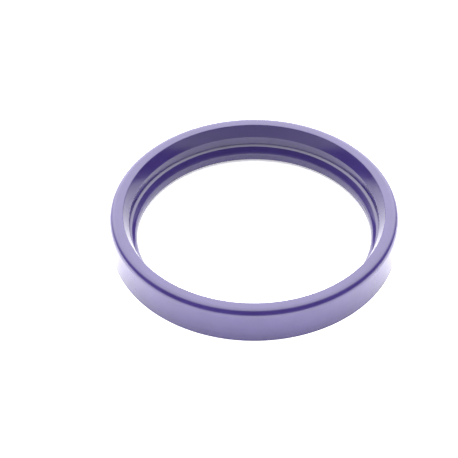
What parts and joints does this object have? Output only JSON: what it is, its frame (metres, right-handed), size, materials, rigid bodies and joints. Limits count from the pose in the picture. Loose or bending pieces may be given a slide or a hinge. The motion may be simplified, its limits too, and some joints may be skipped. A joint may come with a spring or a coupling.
{
  "type": "backup ring",
  "caption": "Moulded backup ring of translucent polyurethane: straight outer wall with a rounded upper edge, flat faces, and a lead-in cone and straight wall above a rounded inner lip.",
  "frame": {"origin": "centre of the lower face, on the ring's axis", "axes": "+Z along the ring's axis, from the lower face towards the face with the lead-in cone; X and Y are free, because the ring is round"},
  "size_m": [0.075, 0.075, 0.01],
  "materials": {
    "polyurethane": "translucent violet, smooth moulded skin"
  },
  "bodies": {
    "root": {"ring": "polyurethane"}
  },
  "joints": []
}
